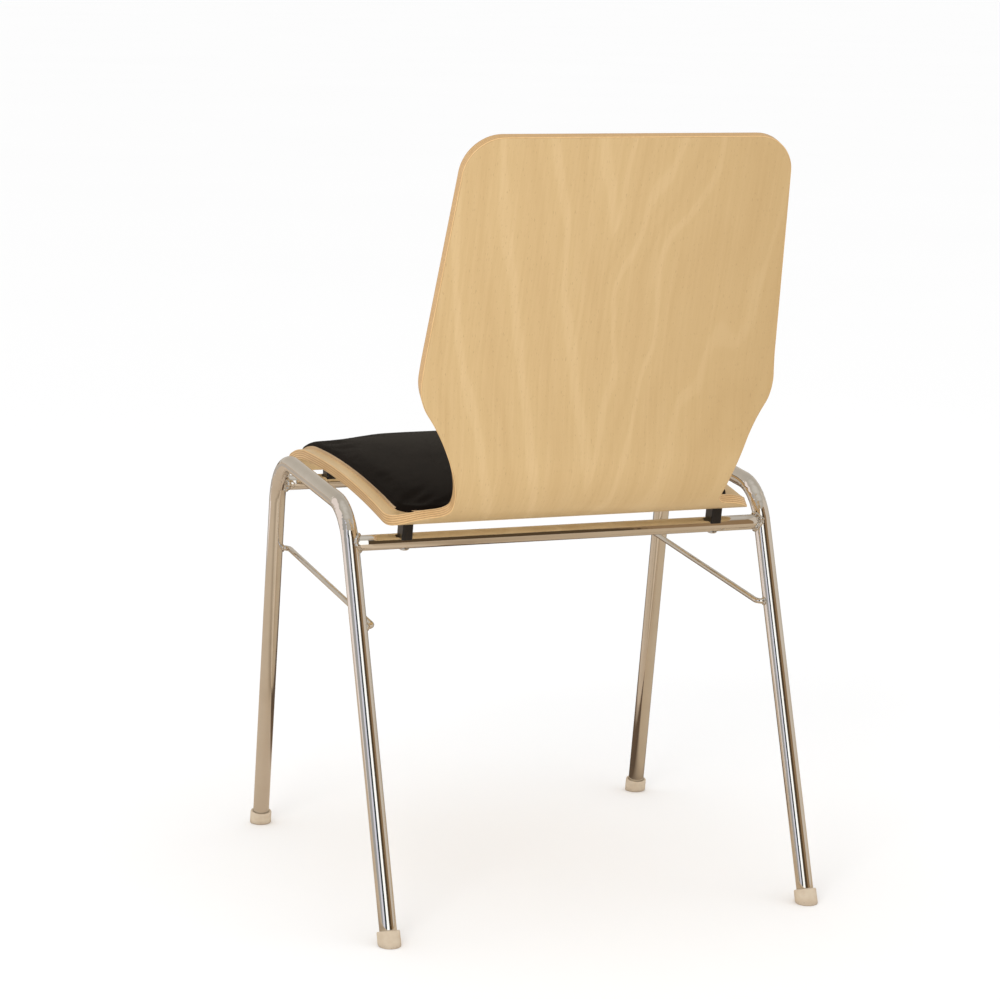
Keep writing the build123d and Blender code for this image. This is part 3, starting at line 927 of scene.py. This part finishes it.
def make_screws():
    """Pan heads with a pressed cross recess."""
    points, faces = [], []
    sides, rings = 64, 22
    for end in ("front", "rear"):
        axis = fixing_axis(end)
        for side in (1, -1):
            under = Vector((side * SPACER_HALF_SPAN, bar_middle[end].y, bar_middle[end].z)) - axis * BAR_RADIUS
            level = Vector((1.0, 0.0, 0.0))
            forward = axis.cross(level)
            start = len(points)
            for ring in range(rings):
                share = (ring + 0.5) / rings
                radius = SCREW_HEAD_RADIUS * share
                dome = SCREW_HEAD_HEIGHT * (1 - share ** 3.2) ** 0.5
                for number in range(sides):
                    angle = math.tau * number / sides
                    x, y = radius * math.cos(angle), radius * math.sin(angle)
                    arm = min(abs(x), abs(y))
                    reach = max(abs(x), abs(y))
                    recess = RECESS_DEPTH if arm < RECESS_HALF_WIDTH and reach < RECESS_REACH else 0.0
                    points.append(under + level * x + forward * y - axis * (dome - recess))
            for number in range(sides):
                angle = math.tau * number / sides
                radial = level * math.cos(angle) + forward * math.sin(angle)
                points.append(under + radial * SCREW_HEAD_RADIUS + axis * 0.0004)
            faces.append(tuple(start + number for number in range(sides)))
            faces += rings_to_faces(start, rings + 1, sides)
            faces.append(tuple(start + rings * sides + number for number in reversed(range(sides))))
    return add_piece("pan_head_screws", points, faces, [screw_zinc], ["shell_screws"])


def finish_hidden_pieces():
    for name, finish in (("shell_tee_nuts", nut_zinc), ("pad_board", board_wood)):
        materials = frame["nodes"][name].data.materials
        materials.clear()
        materials.append(finish)


# ---------------------------------------------------------------- floor, light and camera

CAMERA_PLACE = Vector((1.2031, 3.0726, 1.0046))
CAMERA_YAW = math.radians(20.82)
CAMERA_PITCH = math.radians(10.26)
CAMERA_ROLL = math.radians(1.0)
CAMERA_LENS = 110.9
CAMERA_BEARING = math.atan2(CAMERA_PLACE.x, CAMERA_PLACE.y)


def make_camera():
    camera = bpy.data.objects.new("camera", bpy.data.cameras.new("camera"))
    camera.data.lens = CAMERA_LENS
    camera.data.sensor_width = 36.0
    level = math.cos(CAMERA_PITCH)
    view = Vector((-math.sin(CAMERA_YAW) * level, -math.cos(CAMERA_YAW) * level, -math.sin(CAMERA_PITCH)))
    camera.rotation_mode = "QUATERNION"
    camera.rotation_quaternion = view.to_track_quat("-Z", "Y") @ Quaternion((0.0, 0.0, 1.0), CAMERA_ROLL)
    camera.location = CAMERA_PLACE
    bpy.context.scene.collection.objects.link(camera)
    bpy.context.scene.camera = camera


# Floor as the plating sees it: (turns from the camera's side, colour), clockwise seen from above
FLOOR_IN_PLATING = [
    (0.05, (0.134, 0.089, 0.057)), (0.10, (0.577, 0.461, 0.348)), (0.34, (0.546, 0.432, 0.316)),
    (0.40, (0.371, 0.291, 0.203)), (0.46, (0.659, 0.536, 0.405)), (0.54, (0.639, 0.517, 0.381)),
    (0.58, (0.412, 0.310, 0.211)), (0.66, (0.536, 0.418, 0.292)), (0.90, (0.515, 0.404, 0.283)),
    (0.95, (0.124, 0.085, 0.057)),
]


def make_floor():
    material, tree = new_finish("studio_floor", Roughness=0.9, Specular_IOR_Level=0.0)
    cloud = tree.noise(tree.place(), 0.7, 2.0)
    pale = tree.ramp(cloud, [(0.3, (0.978, 0.978, 0.978)), (0.7, (0.984, 0.984, 0.984))])
    glossy = tree.node("ShaderNodeLightPath", None, None, "Is Glossy Ray")
    across, along, height = tree.axes(tree.place())
    turns = (along.math("ARCTAN2", across) - (math.pi / 2 - CAMERA_BEARING)) / math.tau + 0.5
    seen = tree.ramp(turns.math("FRACT"), FLOOR_IN_PLATING)
    feed_shader(tree, Base_Color=tree.mix(glossy, pale, seen))
    mesh = bpy.data.meshes.new("studio_floor")
    reach = 120.0
    mesh.from_pydata([(-reach, -reach, 0), (reach, -reach, 0), (reach, reach, 0), (-reach, reach, 0)], [],
                     [(0, 1, 2, 3)])
    mesh.materials.append(material)
    floor = bpy.data.objects.new("studio_floor", mesh)
    bpy.context.scene.collection.objects.link(floor)


def glow(name, colour):
    material, tree = new_finish(name)
    tree.nodes.remove(tree.shader)
    light = tree.node("ShaderNodeEmission", None, {"Color": (*colour, 1.0), "Strength": 1.0})
    tree.links.new(light.socket, tree.nodes["Material Output"].inputs["Surface"])
    return material


# Studio cards that only the plating sees: (from angle, to angle, height, colour), clockwise from the camera
CARDS = [
    (-180, -152, 0.32, (0.060, 0.042, 0.030)),
    (-152, -122, 0.32, (0.500, 0.440, 0.380)),
    (-122, -78, 1.9, (0.900, 0.790, 0.730)),
    (-78, -45, 1.9, (0.400, 0.385, 0.370)),
    (-45, -27, 1.9, (0.760, 0.760, 0.850)),
    (-27, -9, 1.9, (0.030, 0.042, 0.050)),
    (-9, 17, 1.9, (1.250, 1.250, 1.230)),
    (17, 46, 1.9, (0.085, 0.055, 0.028)),
    (46, 72, 1.9, (0.300, 0.190, 0.100)),
    (72, 118, 1.9, (0.640, 0.560, 0.470)),
    (118, 152, 0.32, (0.520, 0.460, 0.380)),
    (152, 180, 0.32, (0.055, 0.050, 0.045)),
]
CARD_DISTANCE = 1.7


def make_cards():
    for number, (first, last, height, colour) in enumerate(CARDS):
        steps = max(2, round((last - first) / 4))
        points = []
        for step in range(steps + 1):
            angle = CAMERA_BEARING - math.radians(first + (last - first) * step / steps)
            x, y = CARD_DISTANCE * math.sin(angle), CARD_DISTANCE * math.cos(angle)
            points += [(x, y, 0.0), (x, y, height)]
        faces = [(2 * step, 2 * step + 2, 2 * step + 3, 2 * step + 1) for step in range(steps)]
        mesh = bpy.data.meshes.new(f"studio_card_{number}")
        mesh.from_pydata(points, [], faces)
        mesh.materials.append(glow(f"card_{number}", colour))
        card = bpy.data.objects.new(f"studio_card_{number}", mesh)
        bpy.context.scene.collection.objects.link(card)
        card.visible_camera = False
        card.visible_diffuse = False
        card.visible_shadow = False


def make_light():
    world = bpy.data.worlds.new("studio")
    bpy.context.scene.world = world
    world.use_nodes = True
    tree = Tree(world.node_tree.nodes, world.node_tree.links)
    glossy = tree.node("ShaderNodeLightPath", None, None, "Is Glossy Ray")
    camera_ray = tree.node("ShaderNodeLightPath", None, None, "Is Camera Ray")
    height = tree.axes(tree.node("ShaderNodeTexCoord", None, None, "Generated"))[2]
    ceiling = tree.ramp(height, [(0.0, (0.620, 0.560, 0.480)), (0.45, (0.520, 0.465, 0.395)),
                                 (0.80, (0.480, 0.435, 0.375)), (1.0, (0.640, 0.600, 0.540))])
    colour = tree.mix(glossy, (1.000, 1.000, 1.000), ceiling)
    colour = tree.mix(camera_ray, colour, (1.0, 1.0, 1.0))
    tree.feed(tree.nodes["Background"].inputs["Color"], colour)
    for name, place, size, power in (
        ("key_light", (2.3, 2.6, 2.4), 1.4, 26.0),
        ("fill_light", (-2.6, 1.6, 1.9), 1.6, 4.0),
    ):
        lamp = bpy.data.objects.new(name, bpy.data.lights.new(name, "AREA"))
        lamp.data.size = size
        lamp.data.energy = power
        lamp.location = place
        lamp.rotation_mode = "QUATERNION"
        aim = Vector((0.0, 0.0, 0.45)) - Vector(place)
        lamp.rotation_quaternion = aim.to_track_quat("-Z", "Y")
        bpy.context.scene.collection.objects.link(lamp)
    bpy.context.scene.view_settings.view_transform = "Standard"


make_camera()
make_light()
make_floor()
make_cards()
make_shell()
make_pad()
for side, word in ((1, "left"), (-1, "right")):
    make_side_frame(side, word)
    make_link_bar(side, word)
    for end in bend_of:
        make_glide(end, side, word)
for end in bend_of:
    make_crossbar(end)
make_all_welds()
finish_spacers()
make_screws()
finish_hidden_pieces()
